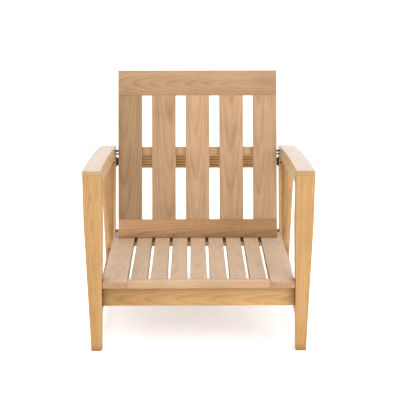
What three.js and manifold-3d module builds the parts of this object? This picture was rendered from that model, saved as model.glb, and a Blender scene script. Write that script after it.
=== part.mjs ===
// Low wooden lounge armchair with a slatted seat and a slatted back that reclines a little.
// Millimetres, +Z up. The front faces -Y. The origin is on the floor, under the middle of the chair.
import * as THREE from 'three';
import { mergeVertices } from 'three/addons/utils/BufferGeometryUtils.js';
import Module from 'manifold-3d';

const wasm = await Module();
wasm.setup();
const radians = THREE.MathUtils.degToRad;

// ---- driving dimensions ----
// "Back" distances run from the front face of the front legs towards the rear.
const WIDTH = 728.6;               // across the outer faces of the arms
const DEPTH = 780;                 // front of the front legs to the rear end of the arms
const CLEAR = 0.3;                 // clearance left between pieces that touch

const LEG = 58;                    // square section of a leg above the taper
const LEG_FOOT = 34;               // square section of a leg at the floor
const LEG_TAPER = 447;             // height where the taper ends
const LEG_X = 335;                 // centre line of the legs, either side of the middle
const FRONT_LEG = 29;              // back distance of the front legs' centre line
const REAR_LEG = 751;              // back distance of the rear legs' centre line
const FRONT_LEG_TOP = 602;
const REAR_LEG_TOP = 466;

const ARM_WIDTH = 58.6;
const ARM_TOP = 616.5;             // height of the arm's top at its front end
const ARM_FALL = 0.1046;           // slope of the arm's top at its front end
const ARM_BEND = 6.31e-5;          // extra fall with the square of the distance: the arch
const ARM_UNDER = 571;             // height of the straight underside, taken to the front
const ARM_UNDER_FALL = 0.1462;
const ARM_FILLET = 12;             // hollow corner where the underside meets the front leg

const FRONT_APRON = { back: 28, thick: 22, low: 153, high: 217.5 };
const REAR_APRON = { back: 740, thick: 22, low: 105, high: 169 };
const APRON_TENON = { reach: 330, shoulder: 5, inset: 7 };
const STRETCHER = { thick: 18, low: 66, high: 101, tenonThick: 10, tenonInset: 6.5, reach: 353 };
const SEAT_RUNNER = { inner: 262, thick: 24, high: 45 };   // carries the seat between the aprons

const SEAT_FRONT = 8;              // back distance of the seat's front edge
const SEAT_HEIGHT = 243.9;         // height of the seat's front top edge
const SEAT_TILT = radians(4);
const SEAT = { half: 310.5, length: 624, thick: 22.5, stile: 79.5, front: 36, rear: 64 };
const SEAT_SLATS = 7;
const SEAT_SLAT = 54;

const BACK_FOOT = 551;             // back distance of the front of the back's lower edge
const BACK_TILT = radians(19.1);
const BACK = { half: 291.7, height: 617, thick: 24, topRail: 91.3, bottomRail: 68.3 };
const BACK_UPRIGHTS = ['stile_left', 'slat_1', 'slat_2', 'slat_3', 'stile_right'];
const BACK_UPRIGHT = 87.3;         // width of each stile and slat of the back
const BAR = { half: 284, thick: 22, low: 307, high: 337 };  // bar across the back's rear face

const HINGE = { x: 200, length: 45, barrel: 14.6, radius: 3.5, pin: 1.6, leaf: 2, reach: 28 };
const HINGE_OFF = 4;               // hinge line behind the back panel and above the seat panel
const STAY = { inner: 286, outer: 290, radius: 311, half: 7, slot: 3.4 };
const STAY_PIN = radians(1.35);    // angles about the hinge line, from the back panel's plane
const STAY_SLOT = [radians(3.9), radians(13.3)];
const STAY_END = radians(15);
const CLAMP = radians(12.6);

const CROSS_RAIL = { half: 284.5, back: 739, thick: 24, low: 419.5, high: 465 };
const PLATE = { inner: 270, face: 303, outer: 305.7, back: 741, thick: 5, low: 428, high: 458 };
const PLATE_BOLT = { back: 730, height: 446, radius: 2, head: 5, end: 316 };
const NUT = { radius: 3.7, depth: 13.4, sunk: 0.6 };
const NUTS = { upper: { x: 312.7, z: 446 }, lower: { x: 322, z: 135 } };

// ---- colours ----
const FRAME_TEAK = { color: 0xd9ad78, roughness: 0.62, metalness: 0 };
const PANEL_TEAK = { color: 0xcba584, roughness: 0.68, metalness: 0 };
const BLACK_STEEL = { color: 0x2b231c, roughness: 0.45, metalness: 0.8 };

// ---- the groups: everything in "chair" is measured back from the front legs ----
const seatTop = (back) => SEAT_HEIGHT - (back - SEAT_FRONT) * Math.tan(SEAT_TILT);

const chair = new THREE.Group();
chair.position.y = -DEPTH / 2;

const seat = new THREE.Group();
seat.position.set(0, SEAT_FRONT, SEAT_HEIGHT);
seat.rotation.x = -SEAT_TILT;
chair.add(seat);

const back = new THREE.Group();
back.position.set(0, BACK_FOOT, seatTop(BACK_FOOT));
back.rotation.x = -BACK_TILT;
chair.add(back);

const add = (group, name, geometry, finish) => {
  geometry.computeVertexNormals();
  const mesh = new THREE.Mesh(geometry, new THREE.MeshStandardMaterial(finish));
  mesh.name = name;
  group.add(mesh);
};
const SIDES = [['left', -1], ['right', 1]];
const span = (side, from, to) => (side > 0 ? [from, to] : [-to, -from]);

// ---- shapes ----
const block = ([x0, x1], [y0, y1], [z0, z1]) =>
  new THREE.BoxGeometry(x1 - x0, y1 - y0, z1 - z0)
    .translate((x0 + x1) / 2, (y0 + y1) / 2, (z0 + z1) / 2);

// A side outline of [back, height] points, carried across from x0 to x1.
const ACROSS = new THREE.Matrix4().makeBasis(
  new THREE.Vector3(0, 1, 0), new THREE.Vector3(0, 0, 1), new THREE.Vector3(1, 0, 0));
const prism = (outline, [x0, x1]) =>
  new THREE.ExtrudeGeometry(
    new THREE.Shape(outline.map(([y, z]) => new THREE.Vector2(y, z))),
    { depth: x1 - x0, bevelEnabled: false },
  ).applyMatrix4(ACROSS).translate(x0, 0, 0);

// A turned piece lying along X: [radius, distance from the middle] points, either side.
const turned = (profile, side, y, z, segments = 24) =>
  new THREE.LatheGeometry(profile.map(([r, x]) => new THREE.Vector2(r, x)), segments)
    .rotateZ(-side * Math.PI / 2).translate(0, y, z);
const rodAcross = (radius, [x0, x1], y, z, segments = 24) =>
  new THREE.CylinderGeometry(radius, radius, x1 - x0, segments)
    .rotateZ(-Math.PI / 2).translate((x0 + x1) / 2, y, z);
const rodAlong = (radius, x, [y0, y1], z, segments = 24) =>
  new THREE.CylinderGeometry(radius, radius, y1 - y0, segments).translate(x, (y0 + y1) / 2, z);

// ---- cutting and joining ----
const solid = (geometry) => {
  const bare = geometry.clone();
  bare.deleteAttribute('normal');
  bare.deleteAttribute('uv');
  const merged = mergeVertices(bare, 1e-4);
  const corners = [];
  for (let i = 0; i < merged.index.count; i += 3) {
    const [a, b, c] = [0, 1, 2].map((k) => merged.index.getX(i + k));
    if (a !== b && b !== c && c !== a) corners.push(a, b, c);
  }
  return new wasm.Manifold(new wasm.Mesh({
    numProp: 3,
    vertProperties: new Float32Array(merged.attributes.position.array),
    triVerts: new Uint32Array(corners),
  }));
};
const shell = (manifold) => {
  const mesh = manifold.getMesh();
  const geometry = new THREE.BufferGeometry();
  geometry.setAttribute('position',
    new THREE.BufferAttribute(new Float32Array(mesh.vertProperties), 3));
  geometry.setIndex(new THREE.BufferAttribute(new Uint32Array(mesh.triVerts), 1));
  return geometry;
};
const cut = (geometry, ...tools) =>
  shell(tools.reduce((left, tool) => left.subtract(solid(tool)), solid(geometry)));
const join = (geometry, ...others) =>
  shell(others.reduce((whole, other) => whole.add(solid(other)), solid(geometry)));

// ---- legs: square at the top, tapering on all four sides to the floor ----
const legHalf = (z) => (LEG_FOOT + (LEG - LEG_FOOT) * Math.min(z / LEG_TAPER, 1)) / 2;

const leg = (x, centre, top) => {
  const geometry = new THREE.BoxGeometry(LEG, LEG, 2, 1, 1, 2);
  const at = geometry.attributes.position;
  for (let i = 0; i < at.count; i++) {
    const height = [0, LEG_TAPER, top][Math.round(at.getZ(i)) + 1];
    const scale = legHalf(height) / (LEG / 2);
    at.setXYZ(i, at.getX(i) * scale + x, at.getY(i) * scale + centre, height);
  }
  return geometry;
};

const apronTenon = (rail, side, grow) => block(
  span(side, LEG_X - LEG / 2, APRON_TENON.reach + grow),
  [rail.back + APRON_TENON.shoulder - grow, rail.back + rail.thick - APRON_TENON.shoulder + grow],
  [rail.low + APRON_TENON.inset - grow, rail.high - APRON_TENON.inset + grow]);
const stretcherTenon = (side, grow) => block(
  span(side, LEG_X - STRETCHER.tenonThick / 2 - grow, LEG_X + STRETCHER.tenonThick / 2 + grow),
  [DEPTH / 2 - STRETCHER.reach - grow, DEPTH / 2 + STRETCHER.reach + grow],
  [STRETCHER.low + STRETCHER.tenonInset - grow, STRETCHER.high - STRETCHER.tenonInset + grow]);

const nutRod = ({ x, z }, side, grow) => {
  const face = REAR_LEG - legHalf(z) + NUT.sunk;
  return rodAlong(NUT.radius + grow, side * x, [face - (grow ? 4 : 0), face + NUT.depth + grow], z);
};
const plateBoltHole = (side) => rodAcross(PLATE_BOLT.radius + CLEAR,
  span(side, PLATE.face - 1, PLATE_BOLT.end + CLEAR), PLATE_BOLT.back, PLATE_BOLT.height, 16);

for (const [name, side] of SIDES) {
  add(chair, `front_leg_${name}`, cut(
    leg(side * LEG_X, FRONT_LEG, FRONT_LEG_TOP),
    apronTenon(FRONT_APRON, side, CLEAR),
    stretcherTenon(side, CLEAR)), FRAME_TEAK);
  add(chair, `rear_leg_${name}`, cut(
    leg(side * LEG_X, REAR_LEG, REAR_LEG_TOP),
    apronTenon(REAR_APRON, side, CLEAR),
    stretcherTenon(side, CLEAR),
    nutRod(NUTS.upper, side, CLEAR),
    nutRod(NUTS.lower, side, CLEAR),
    plateBoltHole(side)), FRAME_TEAK);
  add(chair, `upper_barrel_nut_${name}`,
    cut(nutRod(NUTS.upper, side, 0), plateBoltHole(side)), BLACK_STEEL);
  add(chair, `lower_barrel_nut_${name}`, nutRod(NUTS.lower, side, 0), BLACK_STEEL);
}

// ---- points about the hinge line, which runs across the foot of the back ----
const LEAN = BACK_TILT - SEAT_TILT;          // how far the back leans from square to the seat
const HINGE_N = BACK.thick + HINGE_OFF;
const HINGE_S = (HINGE_OFF + HINGE_N * Math.sin(LEAN)) / Math.cos(LEAN);
const backPoint = (n, s) => [
  BACK_FOOT + n * Math.cos(BACK_TILT) + s * Math.sin(BACK_TILT),
  seatTop(BACK_FOOT) - n * Math.sin(BACK_TILT) + s * Math.cos(BACK_TILT)];
const stayPoint = (radius, angle) =>
  [HINGE_N + radius * Math.sin(angle), HINGE_S + radius * Math.cos(angle)];
const clampAt = backPoint(...stayPoint(STAY.radius, CLAMP));

// ---- arms: arched on top, straight underneath, notched over the tops of the legs ----
const armTop = (t) => ARM_TOP - ARM_FALL * t - ARM_BEND * t * t;
const armUnder = (t) => ARM_UNDER - ARM_UNDER_FALL * t;

const armOutline = () => {
  const steps = 24;
  const behindFrontLeg = FRONT_LEG + LEG / 2 + CLEAR;
  const beforeRearLeg = REAR_LEG - LEG / 2 - CLEAR;
  const outline = [];
  for (let i = 0; i <= steps; i++) outline.push([DEPTH * i / steps, armTop(DEPTH * i / steps)]);
  outline.push([DEPTH, REAR_LEG_TOP + CLEAR], [beforeRearLeg, REAR_LEG_TOP + CLEAR]);
  outline.push([beforeRearLeg, armUnder(beforeRearLeg)]);
  const start = behindFrontLeg + ARM_FILLET;
  for (let i = 0; i <= 6; i++) {
    const turn = i * Math.PI / 12;
    outline.push([start - ARM_FILLET * Math.sin(turn),
      armUnder(start) - ARM_FILLET * (1 - Math.cos(turn))]);
  }
  outline.push([behindFrontLeg, FRONT_LEG_TOP + CLEAR], [0, FRONT_LEG_TOP + CLEAR]);
  return outline.reverse();
};
for (const [name, side] of SIDES) {
  const clampHole = rodAcross(3.3, span(side, WIDTH / 2 - ARM_WIDTH - 1, 316.3), ...clampAt);
  add(chair, `arm_${name}`, cut(
    prism(armOutline(), span(side, WIDTH / 2 - ARM_WIDTH, WIDTH / 2)), clampHole), FRAME_TEAK);
}

// ---- aprons and stretchers: their shoulders follow the taper of the legs ----
const fitShoulders = (geometry, axis, middle, reach) => {
  const at = geometry.attributes.position;
  for (let i = 0; i < at.count; i++) {
    const from = at.getComponent(i, axis) - middle;
    at.setComponent(i, axis, middle + Math.sign(from) * (reach - legHalf(at.getZ(i)) - CLEAR));
  }
  return geometry;
};
const apron = (rail) => join(
  fitShoulders(block([-LEG_X, LEG_X], [rail.back, rail.back + rail.thick], [rail.low, rail.high]),
    0, 0, LEG_X),
  apronTenonBody(rail));
const apronTenonBody = (rail) => block([-APRON_TENON.reach, APRON_TENON.reach],
  [rail.back + APRON_TENON.shoulder, rail.back + rail.thick - APRON_TENON.shoulder],
  [rail.low + APRON_TENON.inset, rail.high - APRON_TENON.inset]);
add(chair, 'front_apron', apron(FRONT_APRON), FRAME_TEAK);
add(chair, 'rear_apron', apron(REAR_APRON), FRAME_TEAK);

for (const [name, side] of SIDES) {
  const across = span(side, LEG_X - STRETCHER.thick / 2, LEG_X + STRETCHER.thick / 2);
  add(chair, `side_stretcher_${name}`, join(
    fitShoulders(block(across, [0, DEPTH], [STRETCHER.low, STRETCHER.high]),
      1, DEPTH / 2, REAR_LEG - DEPTH / 2),
    stretcherTenon(side, 0)), FRAME_TEAK);
}

// ---- runners under the seat, between the two aprons ----
for (const [name, side] of SIDES) {
  const front = FRONT_APRON.back + FRONT_APRON.thick + CLEAR;
  const rear = REAR_APRON.back - CLEAR;
  const under = (t) => seatTop(t) - SEAT.thick / Math.cos(SEAT_TILT) - CLEAR;
  add(chair, `seat_runner_${name}`, prism([
    [front, under(front) - SEAT_RUNNER.high], [rear, under(rear) - SEAT_RUNNER.high],
    [rear, under(rear)], [front, under(front)],
  ], span(side, SEAT_RUNNER.inner, SEAT_RUNNER.inner + SEAT_RUNNER.thick)), FRAME_TEAK);
}

// ---- seat panel: two stiles, two rails and the slats between them ----
const seatInner = SEAT.half - SEAT.stile;
const seatLevel = [-SEAT.thick, 0];
for (const [name, side] of SIDES) {
  add(seat, `seat_stile_${name}`,
    block(span(side, seatInner, SEAT.half), [0, SEAT.length], seatLevel), PANEL_TEAK);
}
const betweenStiles = [-seatInner + CLEAR, seatInner - CLEAR];
add(seat, 'seat_front_rail', block(betweenStiles, [0, SEAT.front], seatLevel), PANEL_TEAK);
add(seat, 'seat_rear_rail',
  block(betweenStiles, [SEAT.length - SEAT.rear, SEAT.length], seatLevel), PANEL_TEAK);

const seatGap = (2 * seatInner - SEAT_SLATS * SEAT_SLAT) / (SEAT_SLATS + 1);
for (let i = 0; i < SEAT_SLATS; i++) {
  const x = -seatInner + seatGap + i * (SEAT_SLAT + seatGap);
  add(seat, `seat_slat_${i + 1}`, block([x, x + SEAT_SLAT],
    [SEAT.front + CLEAR, SEAT.length - SEAT.rear - CLEAR], seatLevel), PANEL_TEAK);
}

// ---- back panel: its lower edge is cut to lie along the seat ----
const lowerEdge = (n) => n * Math.tan(LEAN) + 0.5;
const upperShoulder = BACK.height - BACK.topRail;
add(back, 'back_bottom_rail', prism([
  [0, lowerEdge(0)], [BACK.thick, lowerEdge(BACK.thick)],
  [BACK.thick, BACK.bottomRail], [0, BACK.bottomRail],
], [-BACK.half, BACK.half]), PANEL_TEAK);
add(back, 'back_top_rail',
  block([-BACK.half, BACK.half], [0, BACK.thick], [upperShoulder, BACK.height]), PANEL_TEAK);

const pitch = (2 * BACK.half - BACK_UPRIGHT) / (BACK_UPRIGHTS.length - 1);
BACK_UPRIGHTS.forEach((name, i) => {
  const x = -BACK.half + i * pitch;
  add(back, `back_${name}`, block([x, x + BACK_UPRIGHT], [0, BACK.thick],
    [BACK.bottomRail + CLEAR, upperShoulder - CLEAR]), PANEL_TEAK);
});

// ---- bar across the rear of the back, with a steel pin in each end ----
const barAt = stayPoint(STAY.radius, STAY_PIN);
const barBlind = (side) => rodAcross(4.3, span(side, 269.7, BAR.half + 2), ...barAt);
add(back, 'back_bar', cut(
  block([-BAR.half, BAR.half], [BACK.thick + CLEAR, BACK.thick + CLEAR + BAR.thick],
    [BAR.low, BAR.high]),
  barBlind(-1), barBlind(1)), FRAME_TEAK);
for (const [name, side] of SIDES) {
  add(back, `bar_pin_${name}`, turned(
    [[0, 270], [4, 270], [4, 290.4], [6, 290.4], [6, 292.4], [4, 292.4], [4, 304.8], [0, 304.8]],
    side, ...barAt), BLACK_STEEL);
}

// ---- hinges between the rear of the seat and the foot of the back ----
const hingeBack = BACK_FOOT - SEAT_FRONT;
const hingeOnSeat = hingeBack / Math.cos(SEAT_TILT)
  + HINGE_N * Math.cos(LEAN) + HINGE_S * Math.sin(LEAN);

const leaf = (x, centre, barrels, hinge, strip, plate) => {
  const parts = barrels.flatMap(([a, b]) => [
    rodAcross(HINGE.radius, [x + a, x + b], ...hinge, 20), strip([x + a, x + b])]);
  return cut(join(plate([x - HINGE.length / 2, x + HINGE.length / 2]), ...parts),
    rodAcross(HINGE.pin + CLEAR, [x - HINGE.length, x + HINGE.length], ...hinge, 16));
};
for (const [name, side] of SIDES) {
  const x = side * HINGE.x;
  const [middle, edge] = [HINGE.barrel / 2, HINGE.length / 2];
  const off = [CLEAR, CLEAR + HINGE.leaf];
  const face = off.map((n) => BACK.thick + n);
  const clearOf = HINGE.radius + 0.8;

  add(back, `back_hinge_leaf_${name}`, leaf(x, 0, [[-edge, -middle - 0.4], [middle + 0.4, edge]],
    [HINGE_N, HINGE_S],
    (across) => block(across, face, [HINGE_S + HINGE.pin + 0.8, HINGE_S + clearOf + 1]),
    (across) => block(across, face, [HINGE_S + clearOf, HINGE_S + HINGE.reach])), BLACK_STEEL);
  add(seat, `seat_hinge_leaf_${name}`, leaf(x, 0, [[-middle, middle]],
    [hingeOnSeat, HINGE_OFF],
    (across) => block(across, [hingeOnSeat + HINGE.pin + 0.8, hingeOnSeat + clearOf + 1], off),
    (across) => block(across, [hingeOnSeat + clearOf, hingeOnSeat + HINGE.reach], off)),
  BLACK_STEEL);
  add(seat, `hinge_pin_${name}`,
    rodAcross(HINGE.pin, [x - edge - 1, x + edge + 1], hingeOnSeat, HINGE_OFF, 16), BLACK_STEEL);
}

// ---- slotted stays: from the bar's pins to the clamp bolts in the arms ----
const arcBand = (from, to, half) => {
  const steps = 14;
  const outline = [];
  const cap = (angle, start) => {
    const [n, s] = stayPoint(STAY.radius, angle);
    for (let i = 1; i < 8; i++) {
      const turn = start + angle + i * Math.PI / 8;
      outline.push([n + half * Math.sin(turn), s + half * Math.cos(turn)]);
    }
  };
  const edge = (radius, a, b) => {
    for (let i = 0; i <= steps; i++) outline.push(stayPoint(radius, a + (b - a) * i / steps));
  };
  edge(STAY.radius + half, from, to);
  cap(to, 0);
  edge(STAY.radius - half, to, from);
  cap(from, Math.PI);
  return outline.reverse();
};
for (const [name, side] of SIDES) {
  const past = span(side, STAY.inner - 1, STAY.outer + 1);
  add(back, `slotted_stay_${name}`, cut(
    prism(arcBand(STAY_PIN, STAY_END, STAY.half), span(side, STAY.inner, STAY.outer)),
    prism(arcBand(...STAY_SLOT, STAY.slot), past),
    rodAcross(4.3, past, ...barAt)), BLACK_STEEL);
  add(chair, `clamp_bolt_${name}`, turned([
    [0, 278], [5, 278], [5, 285.6], [3, 285.6], [3, 290.4], [5, 290.4],
    [5, 292.4], [3, 292.4], [3, 316], [0, 316],
  ], side, ...clampAt), BLACK_STEEL);
}

// ---- cross rail between the rear legs, held by a bolted angle plate at each end ----
const plateTab = (side, grow) => block(
  span(side, PLATE.inner - grow, PLATE.outer),
  [PLATE.back - grow, PLATE.back + PLATE.thick + grow],
  [PLATE.low - grow, PLATE.high + grow]);
add(chair, 'rear_cross_rail', cut(
  block([-CROSS_RAIL.half, CROSS_RAIL.half],
    [CROSS_RAIL.back, CROSS_RAIL.back + CROSS_RAIL.thick], [CROSS_RAIL.low, CROSS_RAIL.high]),
  plateTab(-1, CLEAR), plateTab(1, CLEAR)), FRAME_TEAK);

for (const [name, side] of SIDES) {
  const flange = block(span(side, PLATE.face, PLATE.outer), [724, 758], [PLATE.low, PLATE.high]);
  add(chair, `angle_plate_${name}`,
    cut(join(plateTab(side, 0), flange), plateBoltHole(side)), BLACK_STEEL);
  add(chair, `plate_bolt_${name}`, turned([
    [0, 299.9], [PLATE_BOLT.head, 299.9], [PLATE_BOLT.head, 302.7],
    [PLATE_BOLT.radius, 302.7], [PLATE_BOLT.radius, PLATE_BOLT.end], [0, PLATE_BOLT.end],
  ], side, PLATE_BOLT.back, PLATE_BOLT.height), BLACK_STEEL);
}

export default chair;
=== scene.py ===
# Low teak lounge armchair with a slatted seat and a reclining slatted back, on a pale studio floor.
import math
import random
import bmesh
import bpy
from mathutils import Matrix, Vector


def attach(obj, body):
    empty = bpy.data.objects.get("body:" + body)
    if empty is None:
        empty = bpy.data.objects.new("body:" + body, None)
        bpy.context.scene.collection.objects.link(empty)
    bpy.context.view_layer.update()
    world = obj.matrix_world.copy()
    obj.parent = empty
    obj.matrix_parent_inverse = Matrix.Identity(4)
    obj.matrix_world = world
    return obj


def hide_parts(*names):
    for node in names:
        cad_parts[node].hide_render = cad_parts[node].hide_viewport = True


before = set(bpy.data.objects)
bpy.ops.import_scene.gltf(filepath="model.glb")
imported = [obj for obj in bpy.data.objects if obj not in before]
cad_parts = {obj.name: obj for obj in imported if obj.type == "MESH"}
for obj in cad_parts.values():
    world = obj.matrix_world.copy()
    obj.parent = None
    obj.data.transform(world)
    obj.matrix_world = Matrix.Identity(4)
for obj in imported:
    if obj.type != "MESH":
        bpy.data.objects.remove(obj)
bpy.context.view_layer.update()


# Legs: four solid teak posts, square at the top and planed to a taper on every side below the arm.
# They are mortised for the aprons and stretchers. Their edges are eased by hand and their faces
# carry plain-sawn figure, so the means of working and finishing all the timber starts here.
# Worn edges, and a mask of painted shade for the creases and corners where parts meet.
def edge_wear_and_shade_group():
    group = bpy.data.node_groups.new("edge_wear", "ShaderNodeTree")
    face = group.interface
    face.new_socket("Radius", in_out="INPUT", socket_type="NodeSocketFloat").default_value = 0.003
    face.new_socket("Breakup", in_out="INPUT", socket_type="NodeSocketFloat").default_value = 90.0
    face.new_socket("Wear", in_out="OUTPUT", socket_type="NodeSocketFloat")
    face.new_socket("Recess", in_out="OUTPUT", socket_type="NodeSocketFloat")
    nodes, links = group.nodes, group.links
    source, result = nodes.new("NodeGroupInput"), nodes.new("NodeGroupOutput")
    rounded = nodes.new("ShaderNodeBevel")
    rounded.samples = 4
    surface = nodes.new("ShaderNodeNewGeometry")
    facing = nodes.new("ShaderNodeVectorMath"); facing.operation = "DOT_PRODUCT"
    turned = nodes.new("ShaderNodeMapRange")
    turned.inputs["From Min"].default_value = 0.995
    turned.inputs["From Max"].default_value = 0.85
    place = nodes.new("ShaderNodeTexCoord")
    patchy = nodes.new("ShaderNodeTexNoise")
    patchy.inputs["Detail"].default_value = 2.0
    rubbed = nodes.new("ShaderNodeMath"); rubbed.operation = "MULTIPLY"
    # Recess: ambient occlusion turned into a mask for painted shade in creases and corners.
    hollow = nodes.new("ShaderNodeAmbientOcclusion")
    hollow.samples = 4
    hollow.inputs["Distance"].default_value = 0.03
    painted_recess_shade = nodes.new("ShaderNodeMath"); painted_recess_shade.operation = "SUBTRACT"
    painted_recess_shade.inputs[0].default_value = 1.0
    links.new(source.outputs["Radius"], rounded.inputs["Radius"])
    links.new(rounded.outputs["Normal"], facing.inputs[0])
    links.new(surface.outputs["Normal"], facing.inputs[1])
    links.new(facing.outputs["Value"], turned.inputs["Value"])
    links.new(place.outputs["Object"], patchy.inputs["Vector"])
    links.new(source.outputs["Breakup"], patchy.inputs["Scale"])
    links.new(turned.outputs["Result"], rubbed.inputs[0])
    links.new(patchy.outputs["Fac"], rubbed.inputs[1])
    links.new(rubbed.outputs["Value"], result.inputs["Wear"])
    links.new(hollow.outputs["AO"], painted_recess_shade.inputs[1])
    links.new(painted_recess_shade.outputs["Value"], result.inputs["Recess"])
    return group


def teak_figure_group():
    """Growth rings about a pith line, drawn out along the grain, with streaks, fibres and pores."""
    group = bpy.data.node_groups.new("teak_figure", "ShaderNodeTree")
    face = group.interface
    face.new_socket("Grain", in_out="INPUT", socket_type="NodeSocketVector")
    for name, value in (("Ring Spacing", 0.006), ("Wander", 0.01)):
        face.new_socket(name, in_out="INPUT", socket_type="NodeSocketFloat").default_value = value
    for name in ("Rings", "Streaks", "Fibres", "Pores"):
        face.new_socket(name, in_out="OUTPUT", socket_type="NodeSocketFloat")
    nodes, links = group.nodes, group.links
    source, result = nodes.new("NodeGroupInput"), nodes.new("NodeGroupOutput")

    def stretched_noise(along, across, detail, rough=0.5):
        scale = nodes.new("ShaderNodeVectorMath"); scale.operation = "MULTIPLY"
        scale.inputs[1].default_value = (along, across, across)
        noise = nodes.new("ShaderNodeTexNoise")
        noise.inputs["Scale"].default_value = 1.0
        noise.inputs["Detail"].default_value = detail
        noise.inputs["Roughness"].default_value = rough
        links.new(source.outputs["Grain"], scale.inputs[0])
        links.new(scale.outputs["Vector"], noise.inputs["Vector"])
        return noise.outputs["Fac"]

    def math_node(operation, first, second):
        node = nodes.new("ShaderNodeMath"); node.operation = operation
        for socket, value in zip(node.inputs, (first, second)):
            if hasattr(value, "links"):
                links.new(value, socket)
            else:
                socket.default_value = value
        return node.outputs["Value"]

    parts = nodes.new("ShaderNodeSeparateXYZ")
    links.new(source.outputs["Grain"], parts.inputs["Vector"])
    section = nodes.new("ShaderNodeCombineXYZ")
    links.new(parts.outputs["Y"], section.inputs["Y"])
    links.new(parts.outputs["Z"], section.inputs["Z"])
    distance = nodes.new("ShaderNodeVectorMath"); distance.operation = "LENGTH"
    links.new(section.outputs["Vector"], distance.inputs[0])
    bend = math_node("MULTIPLY", math_node("SUBTRACT", stretched_noise(2.4, 11.0, 3.0), 0.5),
                     source.outputs["Wander"])
    radius = math_node("ADD", distance.outputs["Value"], bend)
    turns = math_node("FRACT", math_node("DIVIDE", radius, source.outputs["Ring Spacing"]), 0.0)
    late = nodes.new("ShaderNodeValToRGB")
    late.color_ramp.elements[0].position = 0.0
    late.color_ramp.elements[0].color = (0.25, 0.25, 0.25, 1)
    late.color_ramp.elements[1].position = 1.0
    late.color_ramp.elements[1].color = (0.3, 0.3, 0.3, 1)
    for position, value in ((0.12, 0.0), (0.55, 0.25), (0.86, 1.0)):
        late.color_ramp.elements.new(position).color = (value, value, value, 1)
    links.new(turns, late.inputs["Fac"])
    pores = nodes.new("ShaderNodeMapRange")
    pores.inputs["From Min"].default_value = 0.60
    pores.inputs["From Max"].default_value = 0.70
    links.new(stretched_noise(38.0, 1150.0, 1.0), pores.inputs["Value"])
    links.new(late.outputs["Color"], result.inputs["Rings"])
    links.new(stretched_noise(1.6, 46.0, 4.0, 0.6), result.inputs["Streaks"])
    links.new(stretched_noise(7.0, 430.0, 3.0, 0.65), result.inputs["Fibres"])
    links.new(pores.outputs["Result"], result.inputs["Pores"])
    return group


EDGE_WEAR_AND_SHADE = edge_wear_and_shade_group()
TEAK_FIGURE = teak_figure_group()


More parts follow.
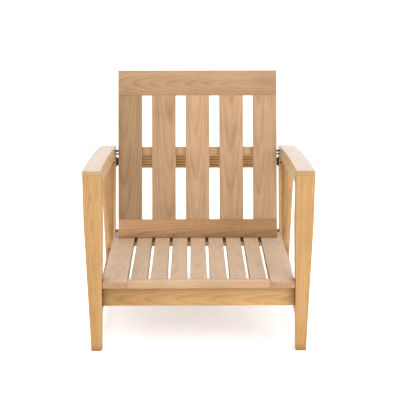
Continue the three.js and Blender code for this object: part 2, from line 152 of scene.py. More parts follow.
def teak(name, pale, mid, deep, ring_spacing, ring_weight, wander=0.010, recess=0.8,
         top_sheen=0.0, top_sheen_colour=(0.50, 0.42, 0.35)):
    """Sanded, unoiled teak with painted shade in its recesses and painted sheen on its up-facing tops.
    Attribute "grain" lays the figure, "shade" tones, "end" is end grain.
    """
    material = bpy.data.materials.new(name)
    material.use_nodes = True
    nodes, links = material.node_tree.nodes, material.node_tree.links
    nodes.clear()
    output = nodes.new("ShaderNodeOutputMaterial")
    wood = nodes.new("ShaderNodeBsdfPrincipled")
    links.new(wood.outputs["BSDF"], output.inputs["Surface"])
    wood.inputs["Specular IOR Level"].default_value = 0.32
    wood.inputs["IOR"].default_value = 1.45

    def attribute(name):
        node = nodes.new("ShaderNodeAttribute")
        node.attribute_name = name
        return node

    figure = nodes.new("ShaderNodeGroup"); figure.node_tree = TEAK_FIGURE
    figure.inputs["Ring Spacing"].default_value = ring_spacing
    figure.inputs["Wander"].default_value = wander
    links.new(attribute("grain").outputs["Vector"], figure.inputs["Grain"])
    wear_and_shade = nodes.new("ShaderNodeGroup"); wear_and_shade.node_tree = EDGE_WEAR_AND_SHADE

    def blend(mode, factor, first, second):
        node = nodes.new("ShaderNodeMix"); node.data_type = "RGBA"; node.blend_type = mode
        for i, value in ((0, factor), (6, first), (7, second)):
            socket = node.inputs[i]
            if hasattr(value, "links"):
                links.new(value, socket)
            else:
                socket.default_value = value
        return node.outputs[2]

    def scaled(value, gain, offset=0.0):
        node = nodes.new("ShaderNodeMath"); node.operation = "MULTIPLY_ADD"
        node.inputs[1].default_value = gain
        node.inputs[2].default_value = offset
        links.new(value, node.inputs[0])
        return node.outputs["Value"]

    def added(first, second):
        node = nodes.new("ShaderNodeMath"); node.operation = "ADD"
        links.new(first, node.inputs[0])
        links.new(second, node.inputs[1])
        return node.outputs["Value"]

    depth = added(scaled(figure.outputs["Rings"], ring_weight),
                  added(scaled(figure.outputs["Streaks"], 1.15, -0.42),
                        scaled(figure.outputs["Fibres"], 0.5, -0.25)))
    tone = nodes.new("ShaderNodeValToRGB")
    tone.color_ramp.elements[0].color = (*pale, 1)
    tone.color_ramp.elements[1].color = (*deep, 1)
    tone.color_ramp.elements.new(0.45).color = (*mid, 1)
    links.new(depth, tone.inputs["Fac"])
    shade = attribute("shade").outputs["Fac"]
    board = nodes.new("ShaderNodeHueSaturation")
    links.new(tone.outputs["Color"], board.inputs["Color"])
    links.new(scaled(shade, 0.16, 1.0), board.inputs["Value"])
    links.new(scaled(shade, -0.03, 1.0), board.inputs["Saturation"])
    place = nodes.new("ShaderNodeTexCoord")
    patches = nodes.new("ShaderNodeTexNoise")
    patches.inputs["Scale"].default_value = 6.5
    patches.inputs["Detail"].default_value = 2.0
    links.new(place.outputs["Object"], patches.inputs["Vector"])
    clouded = nodes.new("ShaderNodeMapRange")
    clouded.inputs["From Min"].default_value = 0.48
    clouded.inputs["From Max"].default_value = 0.75
    clouded.inputs["To Max"].default_value = 0.5
    links.new(patches.outputs["Fac"], clouded.inputs["Value"])
    patchy = blend("MULTIPLY", clouded.outputs["Result"], board.outputs["Color"],
                   (0.72, 0.66, 0.60, 1))
    pored = blend("MULTIPLY", scaled(figure.outputs["Pores"], 0.38), patchy,
                  (0.42, 0.30, 0.20, 1))
    ended = blend("MULTIPLY", scaled(attribute("end").outputs["Fac"], 0.5), pored,
                  (0.62, 0.52, 0.44, 1))
    # Painted sheen: faces turned up are paled towards a light grey in place of the glancing reflection of
    # the light on the tops.
    facing = nodes.new("ShaderNodeNewGeometry")
    heading = nodes.new("ShaderNodeSeparateXYZ")
    links.new(facing.outputs["Normal"], heading.inputs["Vector"])
    top_sheen_mask = nodes.new("ShaderNodeMapRange")
    top_sheen_mask.inputs["From Min"].default_value = 0.80
    top_sheen_mask.inputs["From Max"].default_value = 0.99
    top_sheen_mask.inputs["To Max"].default_value = top_sheen
    links.new(heading.outputs["Z"], top_sheen_mask.inputs["Value"])
    with_top_sheen = blend("MIX", top_sheen_mask.outputs["Result"], ended, (*top_sheen_colour, 1))
    rubbed = blend("MIX", scaled(wear_and_shade.outputs["Wear"], 0.45), with_top_sheen,
                   (*[min(1, c * 1.22) for c in pale], 1))
    # Painted shade: creases and corners are darkened towards deep brown by the recess mask, as strongly
    # as recess sets.
    painted_recess_shade = blend("MULTIPLY", scaled(wear_and_shade.outputs["Recess"], recess), rubbed,
                 (0.36, 0.22, 0.12, 1))
    links.new(painted_recess_shade, wood.inputs["Base Color"])
    links.new(added(scaled(figure.outputs["Fibres"], 0.26, 0.27),
                    scaled(figure.outputs["Pores"], 0.12)), wood.inputs["Roughness"])
    bump = nodes.new("ShaderNodeBump")
    bump.inputs["Strength"].default_value = 0.55
    bump.inputs["Distance"].default_value = 0.0006
    links.new(added(scaled(figure.outputs["Fibres"], 0.7),
                    added(scaled(figure.outputs["Pores"], -0.6),
                          scaled(figure.outputs["Rings"], 0.2))), bump.inputs["Height"])
    links.new(bump.outputs["Normal"], wood.inputs["Normal"])
    return material


# The frame's recesses take the strongest painted shade.
FRAME_TEAK = teak("frame_teak", (0.455, 0.270, 0.110), (0.372, 0.204, 0.074), (0.230, 0.108, 0.034),
                  ring_spacing=0.0052, ring_weight=0.36, recess=0.9)


def dress(mesh, material, sharp=38):
    """Gives a mesh its one material and smooths all but its sharp edges, by an angle in degrees."""
    mesh.materials.clear()
    mesh.materials.append(material)
    mesh.shade_smooth()
    mesh.set_sharp_from_angle(angle=math.radians(sharp))


def finish_timber(mesh, material, along, side, seed, pith=(0.0, -0.05), rise=0.05,
                  shade=None, shade_end=None):
    """Lays the grain along a board, shades it, marks its end grain and smooths its edges."""
    mesh.update()
    dice = random.Random(seed)
    along, side = Vector(along).normalized(), Vector(side).normalized()
    up = along.cross(side)
    low = [min(v.co[k] for v in mesh.vertices) for k in range(3)]
    high = [max(v.co[k] for v in mesh.vertices) for k in range(3)]
    middle = (Vector(low) + Vector(high)) / 2
    shift = Vector((dice.uniform(-3, 3), pith[0], pith[1]))
    grain = mesh.attributes.new("grain", "FLOAT_VECTOR", "POINT")
    for i, vertex in enumerate(mesh.vertices):
        p = vertex.co - middle
        run = p.dot(along)
        grain.data[i].vector = Vector((run, p.dot(side), p.dot(up) + rise * run)) + shift
    tone = dice.uniform(-0.5, 0.5) if shade is None else shade
    tone_end = tone if shade_end is None else shade_end
    reach = max((v.co - middle).dot(along) for v in mesh.vertices)
    shades = mesh.attributes.new("shade", "FLOAT", "POINT")
    for i, vertex in enumerate(mesh.vertices):
        part = 0.5 + 0.5 * (vertex.co - middle).dot(along) / reach
        shades.data[i].value = tone + (tone_end - tone) * part
    ends = mesh.attributes.new("end", "FLOAT", "FACE")
    ends.data.foreach_set("value", [float(abs(f.normal.dot(along)) > 0.9) for f in mesh.polygons])
    dress(mesh, material)


def eased_copy(node, name, eased, corner, segments, shortest=0.0):
    """The CAD solid with every edge sharper than a corner, in degrees, rounded by the easing."""
    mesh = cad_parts[node].data.copy()
    mesh.name = name
    work = bmesh.new()
    work.from_mesh(mesh)
    bmesh.ops.remove_doubles(work, verts=work.verts, dist=1e-5)
    bmesh.ops.dissolve_limit(work, angle_limit=math.radians(0.4), verts=work.verts, edges=work.edges)
    sharp = [e for e in work.edges if len(e.link_faces) == 2 and e.calc_length() > shortest
             and abs(e.calc_face_angle(0)) > math.radians(corner)]
    bmesh.ops.bevel(work, geom=sharp, offset=eased, offset_type="OFFSET", segments=segments,
                    profile=0.5, affect="EDGES", clamp_overlap=True)
    bmesh.ops.triangulate(work, faces=[f for f in work.faces if len(f.verts) > 4])
    work.to_mesh(mesh)
    work.free()
    return mesh


def place_piece(mesh, node, body):
    piece = bpy.data.objects.new(mesh.name, mesh)
    bpy.context.scene.collection.objects.link(piece)
    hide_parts(node)
    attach(piece, body)


def timber(node, material, along, side, body="base", slot="frame_teak", eased=0.0015, **grain):
    """One board or post, cut to its CAD solid, with its edges eased."""
    mesh = eased_copy(node, node + "_timber", eased, corner=25, segments=3, shortest=0.002)
    finish_timber(mesh, material, along, side, seed=node, **grain)
    place_piece(mesh, node, body)


UP, ACROSS, BACKWARD = (0, 0, 1), (1, 0, 0), (0, 1, 0)
LEG_FIGURE = {
    "front_leg_left": dict(pith=(0.004, 0.034), rise=0.06, shade=-0.7),
    "front_leg_right": dict(pith=(-0.05, 0.07), rise=0.02, shade=-0.35),
    # The rear legs' high shade values are painted light that lifts the shade the arms cast on them.
    "rear_leg_left": dict(pith=(0.06, -0.05), rise=0.02, shade=2.9),
    "rear_leg_right": dict(pith=(0.05, -0.07), rise=0.02, shade=1.8),
}
for node, figure in LEG_FIGURE.items():
    timber(node, FRAME_TEAK, UP, ACROSS, eased=0.0010, **figure)


# Arms: thick teak boards on edge, arched on top and hollowed at the front corner below. They are
# notched over the legs and glued and dowelled from beneath, so no fixing shows.
# The arm tops take the strongest painted sheen, paled towards grey.
ARM_TEAK = teak("arm_teak", (0.55, 0.385, 0.215), (0.47, 0.310, 0.160), (0.33, 0.190, 0.085),
                ring_spacing=0.0060, ring_weight=0.34, top_sheen=0.62, top_sheen_colour=(0.40, 0.372, 0.352))
ALONG_ARM = (0, 0.989, -0.146)
timber("arm_left", ARM_TEAK, ALONG_ARM, ACROSS, eased=0.0010, pith=(0.02, -0.10), rise=0.02,
       shade=-1.0, shade_end=0.7)
timber("arm_right", ARM_TEAK, ALONG_ARM, ACROSS, eased=0.0010, pith=(-0.03, -0.12), rise=0.02,
       shade=-0.7, shade_end=0.5)


# Aprons, side stretchers and seat runners: straight teak rails with hidden tenons in the legs. The
# runners carry the seat and butt between the two aprons.
timber("front_apron", FRAME_TEAK, ACROSS, UP, pith=(0.01, -0.06), shade=-1.3, shade_end=0.3)
timber("rear_apron", FRAME_TEAK, ACROSS, UP, pith=(0.03, -0.08), shade=0.2)
for side in ("left", "right"):
    timber(f"side_stretcher_{side}", FRAME_TEAK, BACKWARD, UP, shade=-0.3)
    timber(f"seat_runner_{side}", FRAME_TEAK, (0, 0.9976, -0.0698), UP, shade=-0.4)


# Seat panel: a flat frame of four boards with slats let in between them, all flush. The timber is a
# greyer and pinker cut than the frame's.
# Its up-facing faces, the seat's top among them, take a milder painted sheen.
PANEL_TEAK = teak("panel_teak", (0.395, 0.250, 0.142), (0.320, 0.193, 0.100), (0.190, 0.105, 0.050),
                  ring_spacing=0.0065, ring_weight=0.36, top_sheen=0.34)
SEAT_TILT = math.radians(4.0)
ALONG_SEAT = (0, math.cos(SEAT_TILT), -math.sin(SEAT_TILT))
timber("seat_stile_left", PANEL_TEAK, ALONG_SEAT, ACROSS, slot="panel_teak",
       pith=(0.01, -0.07), shade=0.4)
timber("seat_stile_right", PANEL_TEAK, ALONG_SEAT, ACROSS, slot="panel_teak",
       pith=(-0.02, -0.06), shade=0.6)
timber("seat_front_rail", PANEL_TEAK, ACROSS, ALONG_SEAT, slot="panel_teak",
       pith=(0.02, -0.08), shade=0.4)
timber("seat_rear_rail", PANEL_TEAK, ACROSS, ALONG_SEAT, slot="panel_teak", shade=-0.3)


def board_row_tree():
    """Like boards side by side: eased edges, even gaps, each with its own cut of timber."""
    tree = bpy.data.node_groups.new("board_row", "GeometryNodeTree")
    face = tree.interface
    for name, kind in (("Count", "Int"), ("Pitch", "Float"), ("Width", "Float"), ("Length", "Float"),
                       ("Thickness", "Float"), ("Eased", "Float"), ("Move", "Vector"), ("Tilt", "Vector"),
                       ("Left Shade", "Float"), ("Right Shade", "Float"), ("Seed", "Int"),
                       ("Timber", "Material")):
        face.new_socket(name, in_out="INPUT", socket_type="NodeSocket" + kind)
    face.new_socket("Boards", in_out="OUTPUT", socket_type="NodeSocketGeometry")
    nodes, links = tree.nodes, tree.links
    given, made = nodes.new("NodeGroupInput"), nodes.new("NodeGroupOutput")

    def node(kind, inputs=(), **settings):
        new = nodes.new(kind)
        for key, value in settings.items():
            setattr(new, key, value)
        for key, value in dict(inputs).items():
            if hasattr(value, "links"):
                links.new(value, new.inputs[key])
            else:
                new.inputs[key].default_value = value
        return new

    def sum_of(operation, first, second=0.0):
        return node("ShaderNodeMath", {0: first, 1: second}, operation=operation).outputs[0]

    want = given.outputs
    section = node("GeometryNodeCurvePrimitiveQuadrilateral",
                   {"Width": want["Width"], "Height": want["Thickness"]})
    eased = node("GeometryNodeFilletCurve", {"Curve": section.outputs[0], "Radius": want["Eased"],
                 "Limit Radius": True, "Count": 3}, mode="POLY")
    sawn_end = node("GeometryNodeFillCurve", {"Curve": eased.outputs[0]}, mode="NGONS")
    reach = node("ShaderNodeCombineXYZ", {"Z": want["Length"]})
    drawn = node("GeometryNodeExtrudeMesh", {"Mesh": sawn_end.outputs[0], "Offset": reach.outputs[0],
                                             "Offset Scale": 1.0, "Individual": False})
    other_end = node("GeometryNodeFlipFaces", {"Mesh": sawn_end.outputs[0]})
    both = node("GeometryNodeJoinGeometry")
    links.new(drawn.outputs["Mesh"], both.inputs[0])
    links.new(other_end.outputs[0], both.inputs[0])
    closed = node("GeometryNodeMergeByDistance", {"Geometry": both.outputs[0], "Distance": 1e-5})
    drop = node("ShaderNodeCombineXYZ", {"Z": sum_of("MULTIPLY", want["Thickness"], -0.5)})
    laid = node("GeometryNodeTransform", {"Geometry": closed.outputs[0],
                "Translation": drop.outputs[0], "Rotation": (-math.pi / 2, 0.0, 0.0)})
    gaps = sum_of("SUBTRACT", want["Count"], 1.0)
    first = sum_of("MULTIPLY", sum_of("MULTIPLY", gaps, want["Pitch"]), -0.5)
    start = node("ShaderNodeCombineXYZ", {"X": first})
    step = node("ShaderNodeCombineXYZ", {"X": want["Pitch"]})
    spots = node("GeometryNodeMeshLine", {"Count": want["Count"], "Start Location": start.outputs[0],
                                          "Offset": step.outputs[0]})
    row = node("GeometryNodeInstanceOnPoints",
               {"Points": spots.outputs[0], "Instance": laid.outputs[0]})
    index = node("GeometryNodeInputIndex")
    across = sum_of("DIVIDE", index.outputs[0], gaps)
    # The middle boards take the right-hand shade, and the outer ones fall back towards the left.
    bow = sum_of("POWER", sum_of("SINE", sum_of("MULTIPLY", across, 2.67)), 0.4)
    trend = node("ShaderNodeMapRange", {"Value": bow, "To Min": want["Left Shade"],
                                        "To Max": want["Right Shade"]})
    chance = node("FunctionNodeRandomValue", {"Seed": want["Seed"]}, data_type="FLOAT")
    chance.inputs[2].default_value, chance.inputs[3].default_value = -0.35, 0.35
    shade = sum_of("ADD", trend.outputs[0], chance.outputs[1])
    cutting = node("FunctionNodeRandomValue", {"Seed": want["Seed"]}, data_type="FLOAT_VECTOR")
    cutting.inputs[0].default_value = (-3.0, -0.028, -0.085)
    cutting.inputs[1].default_value = (3.0, 0.028, -0.035)
    place = node("GeometryNodeInputPosition")
    toned = node("GeometryNodeStoreNamedAttribute", {"Geometry": row.outputs[0], "Name": "shade",
                 "Value": shade}, data_type="FLOAT", domain="INSTANCE")
    sawn = node("GeometryNodeStoreNamedAttribute", {"Geometry": toned.outputs[0], "Name": "cut",
                "Value": cutting.outputs[0]}, data_type="FLOAT_VECTOR", domain="INSTANCE")
    placed = node("GeometryNodeStoreNamedAttribute", {"Geometry": sawn.outputs[0], "Name": "spot",
                  "Value": place.outputs[0]}, data_type="FLOAT_VECTOR", domain="INSTANCE")
    real = node("GeometryNodeRealizeInstances", {"Geometry": placed.outputs[0]})
    spot = node("GeometryNodeInputNamedAttribute", {"Name": "spot"}, data_type="FLOAT_VECTOR")
    cut = node("GeometryNodeInputNamedAttribute", {"Name": "cut"}, data_type="FLOAT_VECTOR")
    own = node("ShaderNodeVectorMath", {0: place.outputs[0], 1: spot.outputs[0]}, operation="SUBTRACT")
    axes = node("ShaderNodeSeparateXYZ", {0: own.outputs[0]})
    risen = sum_of("ADD", axes.outputs["Z"], sum_of("MULTIPLY", axes.outputs["Y"], 0.04))
    turned = node("ShaderNodeCombineXYZ", {"X": axes.outputs["Y"], "Y": axes.outputs["X"], "Z": risen})
    lay = node("ShaderNodeVectorMath", {0: turned.outputs[0], 1: cut.outputs[0]}, operation="ADD")
    grained = node("GeometryNodeStoreNamedAttribute", {"Geometry": real.outputs[0], "Name": "grain",
                   "Value": lay.outputs[0]}, data_type="FLOAT_VECTOR", domain="POINT")
    normal = node("ShaderNodeSeparateXYZ", {0: node("GeometryNodeInputNormal").outputs[0]})
    is_end = sum_of("GREATER_THAN", sum_of("ABSOLUTE", normal.outputs["Y"]), 0.9)
    ended = node("GeometryNodeStoreNamedAttribute", {"Geometry": grained.outputs[0], "Name": "end",
                 "Value": is_end}, data_type="FLOAT", domain="FACE")
    moved = node("GeometryNodeTransform", {"Geometry": ended.outputs[0], "Translation": want["Move"],
                                           "Rotation": want["Tilt"]})
    whole = node("GeometryNodeRealizeInstances", {"Geometry": moved.outputs[0]})
    dressed = node("GeometryNodeSetMaterial", {"Geometry": whole.outputs[0], "Material": want["Timber"]})
    links.new(dressed.outputs[0], made.inputs[0])
    return tree


def grown(name, tree, material, sharp=38, **inputs):
    """The plain mesh that a tree makes with these inputs."""
    holder = bpy.data.objects.new(name, bpy.data.meshes.new(name + "_seed"))
    bpy.context.scene.collection.objects.link(holder)
    modifier = holder.modifiers.new(name, "NODES")
    modifier.node_group = tree
    sockets = {s.name: s.identifier for s in tree.interface.items_tree if s.in_out == "INPUT"}
    for key, value in inputs.items():
        modifier[sockets[key.replace("_", " ")]] = value
    evaluated = holder.evaluated_get(bpy.context.evaluated_depsgraph_get())
    mesh = bpy.data.meshes.new_from_object(evaluated)
    holder.modifiers.clear()
    holder.data = mesh
    mesh.name = name
    dress(mesh, material, sharp)
    return holder


BOARD_ROW = board_row_tree()
SEAT_FRONT_HEIGHT, SEAT_FRONT_RAIL_WIDTH = 0.2439, 0.0363
SEAT_CORNER = Vector((0, -0.382, SEAT_FRONT_HEIGHT))
seat_slats = grown("seat_slats", BOARD_ROW, PANEL_TEAK, Count=7, Pitch=0.0645, Width=0.054,
                   Length=0.5234, Thickness=0.0225, Eased=0.0018,
                   Move=SEAT_CORNER + Vector(ALONG_SEAT) * SEAT_FRONT_RAIL_WIDTH,
                   Tilt=(-SEAT_TILT, 0.0, 0.0),
                   Left_Shade=-0.6, Right_Shade=0.0, Seed=11, Timber=PANEL_TEAK)
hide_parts(*[f"seat_slat_{i}" for i in range(1, 8)])
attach(seat_slats, "base")


# Back panel: a top and a bottom rail with five wide uprights between them, dowelled and flush. The
# bottom rail, a redder cut, is planed to lie along the seat. The top rail's figure closes to a point.
BACK_TILT = math.radians(19.1)
UP_BACK = (0, math.sin(BACK_TILT), math.cos(BACK_TILT))
BACK_BEHIND_SEAT_FRONT, BOTTOM_RAIL_WIDTH = 0.543, 0.0686
BACK_CORNER = Vector((0, 0.161, SEAT_FRONT_HEIGHT - BACK_BEHIND_SEAT_FRONT * math.tan(SEAT_TILT)))
back_uprights = grown("back_uprights", BOARD_ROW, PANEL_TEAK, Count=5, Pitch=0.124025, Width=0.0873,
                      Length=0.4568, Thickness=0.024, Eased=0.0018,
                      Move=BACK_CORNER + Vector(UP_BACK) * BOTTOM_RAIL_WIDTH,
                      Tilt=(math.pi / 2 - BACK_TILT, 0.0, 0.0),
                      Left_Shade=-2.0, Right_Shade=0.05, Seed=4, Timber=PANEL_TEAK)
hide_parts("back_stile_left", "back_slat_1", "back_slat_2", "back_slat_3",
            "back_stile_right")
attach(back_uprights, "back")
timber("back_top_rail", PANEL_TEAK, ACROSS, UP_BACK, body="back", slot="panel_teak",
       pith=(0.004, 0.010), rise=-0.10, shade=-0.8, shade_end=-1.1)
# A redder cut, with a little painted sheen on its up-facing faces.
RED_TEAK = teak("red_teak", (0.415, 0.232, 0.111), (0.336, 0.180, 0.078), (0.200, 0.098, 0.039),
                ring_spacing=0.0065, ring_weight=0.36, top_sheen=0.28)
timber("back_bottom_rail", RED_TEAK, ACROSS, UP_BACK, body="back", slot="panel_teak",
       pith=(0.03, -0.05), shade=0.4, shade_end=-1.9)


# Back bar and rear cross rail: the pale bar is screwed across the rear of the uprights and moves with
# them. The darker rail, cut with its rings standing on edge, ties the rear legs behind it.
STRIPED_TEAK = teak("striped_teak", (0.66, 0.43, 0.195), (0.47, 0.275, 0.110), (0.20, 0.100, 0.038),
                    ring_spacing=0.0105, ring_weight=0.85, wander=0.004)
timber("back_bar", FRAME_TEAK, ACROSS, UP_BACK, body="back", pith=(0.05, -0.05), shade=2.3)
timber("rear_cross_rail", STRIPED_TEAK, ACROSS, UP, pith=(0.26, 0.0), rise=0.0, shade=0.6)


# Fittings: black-coated steel. The slotted stays ride on pins in the bar and slide past the clamp
# bolts in the arms. Angle plates hold the cross rail, and butt hinges join the back to the seat.
BLACK_STEEL = bpy.data.materials.new("black_steel")
BLACK_STEEL.use_nodes = True
nodes, links = BLACK_STEEL.node_tree.nodes, BLACK_STEEL.node_tree.links
steel = nodes["Principled BSDF"]
steel.inputs["Specular IOR Level"].default_value = 0.4
coat = nodes.new("ShaderNodeTexNoise")
coat.inputs["Scale"].default_value = 420.0
coat.inputs["Detail"].default_value = 4.0
cloud = nodes.new("ShaderNodeTexNoise")
cloud.inputs["Scale"].default_value = 55.0
place = nodes.new("ShaderNodeTexCoord")
links.new(place.outputs["Object"], coat.inputs["Vector"])
links.new(place.outputs["Object"], cloud.inputs["Vector"])
hue = nodes.new("ShaderNodeValToRGB")
hue.color_ramp.elements[0].position, hue.color_ramp.elements[0].color = 0.35, (0.016, 0.012, 0.010, 1)
hue.color_ramp.elements[1].position, hue.color_ramp.elements[1].color = 0.70, (0.040, 0.028, 0.020, 1)
links.new(cloud.outputs["Fac"], hue.inputs["Fac"])
scuff = nodes.new("ShaderNodeGroup"); scuff.node_tree = EDGE_WEAR_AND_SHADE
scuff.inputs["Radius"].default_value = 0.0008
scuff.inputs["Breakup"].default_value = 260.0
bared = nodes.new("ShaderNodeMix"); bared.data_type = "RGBA"
bared.inputs[7].default_value = (0.19, 0.165, 0.145, 1)
links.new(scuff.outputs["Wear"], bared.inputs[0])
links.new(hue.outputs["Color"], bared.inputs[6])
links.new(bared.outputs[2], steel.inputs["Base Color"])
links.new(scuff.outputs["Wear"], steel.inputs["Metallic"])
gloss = nodes.new("ShaderNodeMapRange")
gloss.inputs["To Min"].default_value, gloss.inputs["To Max"].default_value = 0.36, 0.6
links.new(coat.outputs["Fac"], gloss.inputs["Value"])
links.new(gloss.outputs["Result"], steel.inputs["Roughness"])
orange = nodes.new("ShaderNodeBump")
orange.inputs["Strength"].default_value, orange.inputs["Distance"].default_value = 0.25, 0.0003
links.new(coat.outputs["Fac"], orange.inputs["Height"])
links.new(orange.outputs["Normal"], steel.inputs["Normal"])


def ironwork(node, body):
    """A steel fitting, cut to its CAD solid, with its edges broken."""
    mesh = eased_copy(node, node + "_steel", eased=0.0004, corner=32, segments=2)
    dress(mesh, BLACK_STEEL, sharp=34)
    place_piece(mesh, node, body)


for side in ("left", "right"):
    for fitting in ("bar_pin", "slotted_stay", "back_hinge_leaf"):
        ironwork(f"{fitting}_{side}", "back")
    for fitting in ("seat_hinge_leaf", "hinge_pin", "clamp_bolt", "angle_plate", "plate_bolt",
                    "upper_barrel_nut", "lower_barrel_nut"):
        ironwork(f"{fitting}_{side}", "base")


# Hinge screws: countersunk heads with a cross recess, three in a row in each leaf, driven into the
# bottom rail of the back and the rear rail of the seat.
HEAD_RADIUS, HEAD_RISE, HEAD_DEPTH = 0.0029, 0.0006, 0.0011
RECESS_DEPTH, RECESS_HALF_WIDTH, RECESS_REACH = 0.0009, 0.00045, 0.0021
head = bmesh.new()
rings, spokes = 7, 32
rows = []
for k in range(1, rings + 1):
    r = HEAD_RADIUS * k / rings
    row = []
    for j in range(spokes):
        a = 2 * math.pi * j / spokes
        x, y = r * math.cos(a), r * math.sin(a)
        crossed = min(abs(x), abs(y)) < RECESS_HALF_WIDTH and r < RECESS_REACH
        z = HEAD_RISE * (1 - (k / rings) ** 2) - (RECESS_DEPTH if crossed else 0)
        row.append(head.verts.new((x, y, z)))
    rows.append(row)
centre = head.verts.new((0, 0, HEAD_RISE - RECESS_DEPTH))
foot = [head.verts.new((v.co.x, v.co.y, -HEAD_DEPTH)) for v in rows[-1]]
under = head.verts.new((0, 0, -HEAD_DEPTH))
for j in range(spokes):
    n = (j + 1) % spokes
    head.faces.new((centre, rows[0][j], rows[0][n]))
    for inner, outer in zip(rows, rows[1:]):
        head.faces.new((inner[j], outer[j], outer[n], inner[n]))
    head.faces.new((rows[-1][j], foot[j], foot[n], rows[-1][n]))
    head.faces.new((under, foot[n], foot[j]))
bmesh.ops.recalc_face_normals(head, faces=head.faces)
head_mesh = bpy.data.meshes.new("screw_head")
head.to_mesh(head_mesh)
head.free()
screw_head = bpy.data.objects.new("screw_head", head_mesh)
bpy.context.scene.collection.objects.link(screw_head)

SCREW_ROWS = bpy.data.node_groups.new("screw_rows", "GeometryNodeTree")
for name, kind in (("Screws", "Int"), ("Pitch", "Float"), ("Hinges", "Int"), ("Spread", "Float"),
                   ("Move", "Vector"), ("Turn", "Vector"), ("Head", "Object"), ("Steel", "Material")):
    SCREW_ROWS.interface.new_socket(name, in_out="INPUT", socket_type="NodeSocket" + kind)
SCREW_ROWS.interface.new_socket("Heads", in_out="OUTPUT", socket_type="NodeSocketGeometry")
nodes, links = SCREW_ROWS.nodes, SCREW_ROWS.links
given, made = nodes.new("NodeGroupInput"), nodes.new("NodeGroupOutput")


def centred_line(count, pitch):
    """Points in a row along X, centred on the middle of the chair."""
    less = nodes.new("ShaderNodeMath"); less.operation = "SUBTRACT"; less.inputs[1].default_value = 1.0
    run = nodes.new("ShaderNodeMath"); run.operation = "MULTIPLY"
    half = nodes.new("ShaderNodeMath"); half.operation = "MULTIPLY"; half.inputs[1].default_value = -0.5
    start, step = nodes.new("ShaderNodeCombineXYZ"), nodes.new("ShaderNodeCombineXYZ")
    line = nodes.new("GeometryNodeMeshLine")
    links.new(given.outputs[count], less.inputs[0])
    links.new(less.outputs[0], run.inputs[0])
    links.new(given.outputs[pitch], run.inputs[1])
    links.new(run.outputs[0], half.inputs[0])
    links.new(half.outputs[0], start.inputs["X"])
    links.new(given.outputs[pitch], step.inputs["X"])
    links.new(given.outputs[count], line.inputs["Count"])
    links.new(start.outputs[0], line.inputs["Start Location"])
    links.new(step.outputs[0], line.inputs["Offset"])
    return line.outputs[0]


def set_on(points, instance):
    new = nodes.new("GeometryNodeInstanceOnPoints")
    links.new(points, new.inputs["Points"])
    links.new(instance, new.inputs["Instance"])
    real = nodes.new("GeometryNodeRealizeInstances")
    links.new(new.outputs[0], real.inputs[0])
    return real.outputs[0]


model = nodes.new("GeometryNodeObjectInfo")
links.new(given.outputs["Head"], model.inputs["Object"])
every = set_on(set_on(centred_line("Hinges", "Spread"), centred_line("Screws", "Pitch")),
               model.outputs["Geometry"])
seated = nodes.new("GeometryNodeTransform")
links.new(every, seated.inputs["Geometry"])
links.new(given.outputs["Move"], seated.inputs["Translation"])
links.new(given.outputs["Turn"], seated.inputs["Rotation"])
kept = nodes.new("GeometryNodeRealizeInstances")
links.new(seated.outputs[0], kept.inputs[0])
coated = nodes.new("GeometryNodeSetMaterial")
links.new(kept.outputs[0], coated.inputs["Geometry"])
links.new(given.outputs["Steel"], coated.inputs["Material"])
links.new(coated.outputs[0], made.inputs[0])

SCREW_LINE_ON_BACK, LEAF_FACE_ON_BACK = 0.0289, 0.0263
SCREW_LINE_ON_SEAT, LEAF_FACE_ON_SEAT = 0.5909, 0.0023
BACK_NORMAL = Vector((0, math.cos(BACK_TILT), -math.sin(BACK_TILT)))
SEAT_NORMAL = Vector((0, math.sin(SEAT_TILT), math.cos(SEAT_TILT)))
for name, body, spot, turn in (
        ("back_hinge_screws", "back",
         BACK_CORNER + Vector(UP_BACK) * SCREW_LINE_ON_BACK + BACK_NORMAL * LEAF_FACE_ON_BACK,
         (-math.pi / 2 - BACK_TILT, 0.0, 0.0)),
        ("seat_hinge_screws", "base",
         SEAT_CORNER + Vector(ALONG_SEAT) * SCREW_LINE_ON_SEAT + SEAT_NORMAL * LEAF_FACE_ON_SEAT,
         (-SEAT_TILT, 0.0, 0.0))):
    heads = grown(name, SCREW_ROWS, BLACK_STEEL, sharp=50, Screws=3, Pitch=0.0150, Hinges=2,
                  Spread=0.4, Move=spot, Turn=turn, Head=screw_head, Steel=BLACK_STEEL)
    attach(heads, body)
bpy.data.objects.remove(screw_head)


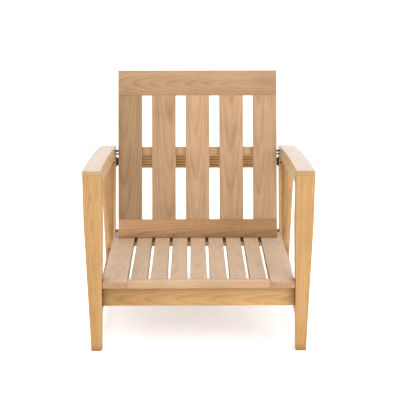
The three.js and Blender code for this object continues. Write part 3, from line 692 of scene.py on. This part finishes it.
# Studio: a pale floor that runs out of sight, a wide soft light overhead, one to the front right and
# a weak one low in front that fills the shade between the legs.
floor_mesh = bpy.data.meshes.new("floor")
FLOOR_REACH = 30
floor_mesh.from_pydata([(x * FLOOR_REACH, y * FLOOR_REACH, 0)
                        for x, y in ((-1, -1), (1, -1), (1, 1), (-1, 1))], [], [(0, 1, 2, 3)])
floor = bpy.data.objects.new("floor", floor_mesh)
bpy.context.scene.collection.objects.link(floor)
paper = bpy.data.materials.new("studio_paper")
paper.use_nodes = True
sheet = paper.node_tree.nodes["Principled BSDF"]
sheet.inputs["Base Color"].default_value = (0.93, 0.93, 0.93, 1)
sheet.inputs["Roughness"].default_value = 0.9
sheet.inputs["Emission Color"].default_value = (1, 1, 1, 1)
sheet.inputs["Emission Strength"].default_value = 0.30
floor_mesh.materials.append(paper)

world = bpy.data.worlds.new("studio")
world.use_nodes = True
world.node_tree.nodes["Background"].inputs["Color"].default_value = (1, 1, 1, 1)
world.node_tree.nodes["Background"].inputs["Strength"].default_value = 1.15
bpy.context.scene.world = world

for name, spot, aim, size, power in (
        ("overhead", (0.2, -0.2, 3.2), (0, 0, 0.3), 3.2, 75),
        ("front_right", (2.8, -2.8, 2.2), (0, 0, 0.35), 2.0, 55),
        ("front_low", (-0.8, -4.2, 0.8), (0, 0.2, 0.4), 1.5, 30)):
    lamp = bpy.data.lights.new(name, "AREA")
    lamp.size = size
    lamp.energy = power
    light = bpy.data.objects.new(name, lamp)
    light.location = spot
    light.rotation_euler = (Vector(aim) - Vector(spot)).to_track_quat("-Z", "Y").to_euler()
    bpy.context.scene.collection.objects.link(light)

bpy.context.scene.view_settings.view_transform = "Standard"

camera = bpy.data.objects.new("camera", bpy.data.cameras.new("camera"))
camera.data.lens = 104.4
camera.data.sensor_width = 36.0
camera.data.clip_end = 100.0
camera.location = (-0.0227, -3.8655, 1.6035)
camera.rotation_euler = (math.radians(72.718), 0.0, math.radians(-0.439))
bpy.context.scene.collection.objects.link(camera)
bpy.context.scene.camera = camera
